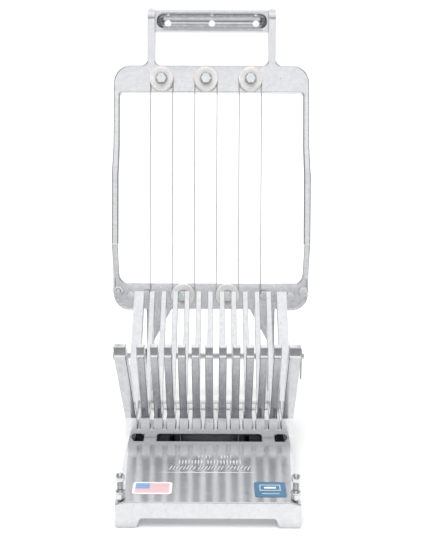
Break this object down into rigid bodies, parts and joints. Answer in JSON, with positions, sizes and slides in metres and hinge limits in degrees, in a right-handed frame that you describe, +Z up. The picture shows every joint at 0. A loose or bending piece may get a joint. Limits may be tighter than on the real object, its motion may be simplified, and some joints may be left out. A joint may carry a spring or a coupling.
{
  "type": "egg slicer",
  "caption": "Countertop lever wire slicer: slotted V cradle on a cast base, and a hinged frame strung with cutting wire over nylon rollers.",
  "frame": {"origin": "middle of the open slicer's footprint, on the table", "axes": "+Z up, +Y back towards the hinge, +X across to the right as seen from the front"},
  "size_m": [0.173, 0.3132, 0.336],
  "materials": {
    "cast_base": "cast and polished aluminium, bright deck, satin sides",
    "cast_cradle": "cast and belt-polished aluminium",
    "cast_frame": "cast and tumbled aluminium, ground front face",
    "cast_yoke": "cast aluminium, slightly darker",
    "zinc_steel": "bright zinc-plated steel",
    "zinc_washer": "zinc-plated steel washers",
    "plain_steel": "drawn steel rod",
    "spring_steel": "drawn spring wire",
    "steel_wire": "drawn stainless wire",
    "nylon": "off-white turned nylon",
    "pale_label": "plain printed vinyl label",
    "blue_label": "plain printed vinyl label"
  },
  "bodies": {
    "base": {"base_casting": "cast_base", "finger_cradle": "cast_cradle", "cradle_bolts": "zinc_steel", "cradle_washers": "zinc_washer", "cheek_bolts": "zinc_steel", "stop_screws": "zinc_steel", "stop_nuts": "zinc_steel", "stop_washers": "zinc_washer", "left_label": "pale_label", "right_label": "blue_label"},
    "frame": {"arm_frame": "cast_frame", "hinge_yoke": "cast_yoke", "corner_bolts": "zinc_steel", "corner_nuts": "zinc_steel", "yoke_bolts": "zinc_steel", "yoke_nuts": "zinc_steel", "roller_bolts": "zinc_steel", "roller_spacers": "zinc_washer", "roller_washers": "zinc_washer", "roller_nuts": "zinc_steel", "clamp_screws": "zinc_steel", "clamp_collars": "zinc_washer", "clamp_washers": "zinc_washer", "clamp_nuts": "zinc_steel", "cutting_wire": "steel_wire"},
    "top_roller_left": {"top_roller_left": "nylon"},
    "top_roller_middle": {"top_roller_middle": "nylon"},
    "top_roller_right": {"top_roller_right": "nylon"},
    "bottom_roller_left": {"bottom_roller_left": "nylon"},
    "bottom_roller_right": {"bottom_roller_right": "nylon"},
    "pin": {"hinge_pin": "plain_steel", "hairpin_clip": "spring_steel"}
  },
  "joints": [
    {"name": "frame_hinge", "type": "hinge", "parent": "base", "child": "frame", "pos_m": [0, 0.09447, 0.0377], "axis": [1, 0, 0], "range_deg": [0, 98.2]},
    {"name": "top_roller_left_spin", "type": "hinge", "parent": "frame", "child": "top_roller_left", "pos_m": [-0.04286, 0.12219, 0.27672], "axis": [0, -0.9848, 0.1736], "continuous": true},
    {"name": "top_roller_middle_spin", "type": "hinge", "parent": "frame", "child": "top_roller_middle", "pos_m": [-0.00476, 0.12219, 0.27672], "axis": [0, -0.9848, 0.1736], "continuous": true},
    {"name": "top_roller_right_spin", "type": "hinge", "parent": "frame", "child": "top_roller_right", "pos_m": [0.03334, 0.12219, 0.27672], "axis": [0, -0.9848, 0.1736], "continuous": true},
    {"name": "bottom_roller_left_spin", "type": "hinge", "parent": "frame", "child": "bottom_roller_left", "pos_m": [-0.02381, 0.08995, 0.09384], "axis": [0, -0.9848, 0.1736], "continuous": true},
    {"name": "bottom_roller_right_spin", "type": "hinge", "parent": "frame", "child": "bottom_roller_right", "pos_m": [0.01429, 0.08995, 0.09384], "axis": [0, -0.9848, 0.1736], "continuous": true},
    {"name": "pin_spin", "type": "hinge", "parent": "base", "child": "pin", "pos_m": [0, 0.09447, 0.0377], "axis": [1, 0, 0], "continuous": true}
  ]
}
